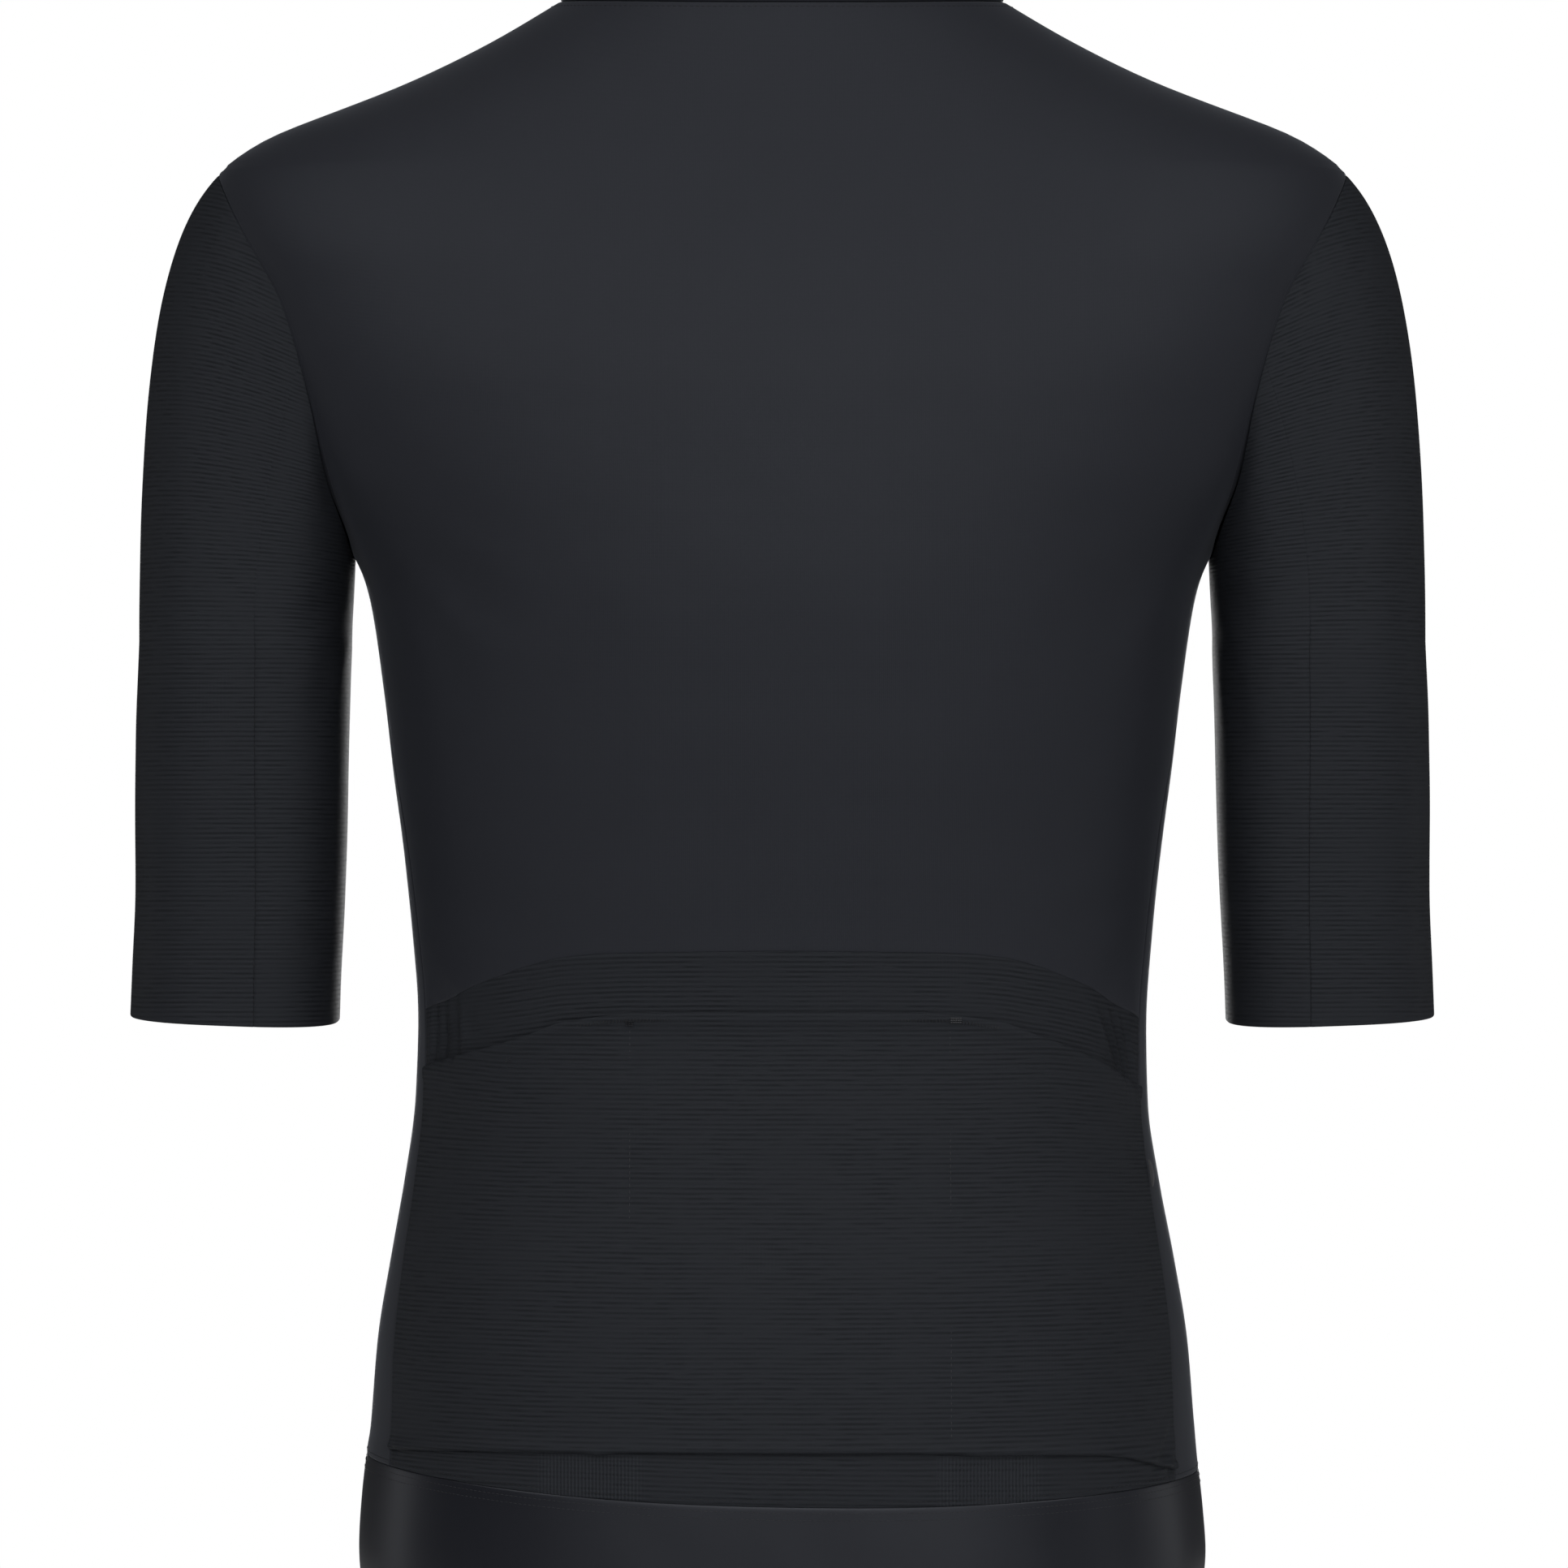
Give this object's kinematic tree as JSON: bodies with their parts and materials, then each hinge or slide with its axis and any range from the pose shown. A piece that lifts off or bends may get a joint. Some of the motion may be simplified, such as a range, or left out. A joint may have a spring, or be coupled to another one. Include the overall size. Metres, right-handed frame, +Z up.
{
  "type": "cycling jersey",
  "caption": "Half-sleeved cycling jersey in its worn shape, with a smooth upper back, a ribbed lower back with pockets, an elastic hem band, a low collar and a front zip.",
  "frame": {"origin": "middle of the neck seam, level with its two shoulder ends: where the wearer's neck holds the jersey", "axes": "+Z up out of the neck, the front faces -Y, the wearer's left is +X"},
  "size_m": [0.5468, 0.2331, 0.7],
  "materials": {
    "smooth_knit": "matte smooth knit",
    "ribbed_knit": "matte knit with fine level ribs",
    "elastic_band": "satin elastic knit",
    "zip_tape_cloth": "matte woven tape",
    "zip_coil": "satin",
    "zip_metal": "satin black",
    "pale_tape": "woven ribbon"
  },
  "bodies": {
    "jersey": {"back_upper": "smooth_knit", "back_lower": "ribbed_knit", "pocket_panel": "ribbed_knit", "front_left": "smooth_knit", "front_right": "smooth_knit", "sleeve_left": "ribbed_knit", "sleeve_right": "ribbed_knit", "collar": "smooth_knit", "hem_band": "elastic_band", "zip_tape_left": "zip_tape_cloth", "zip_tape_right": "zip_tape_cloth", "zip_chain": "zip_coil", "zip_slider": "zip_metal", "side_tab": "pale_tape"},
    "pull": {"zip_pull": "zip_metal"}
  },
  "joints": [
    {"name": "pull_swing", "type": "hinge", "parent": "jersey", "child": "pull", "pos_m": [0, -0.07303, -0.02343], "axis": [-1, 0, 0], "range_deg": [0, 150]}
  ]
}
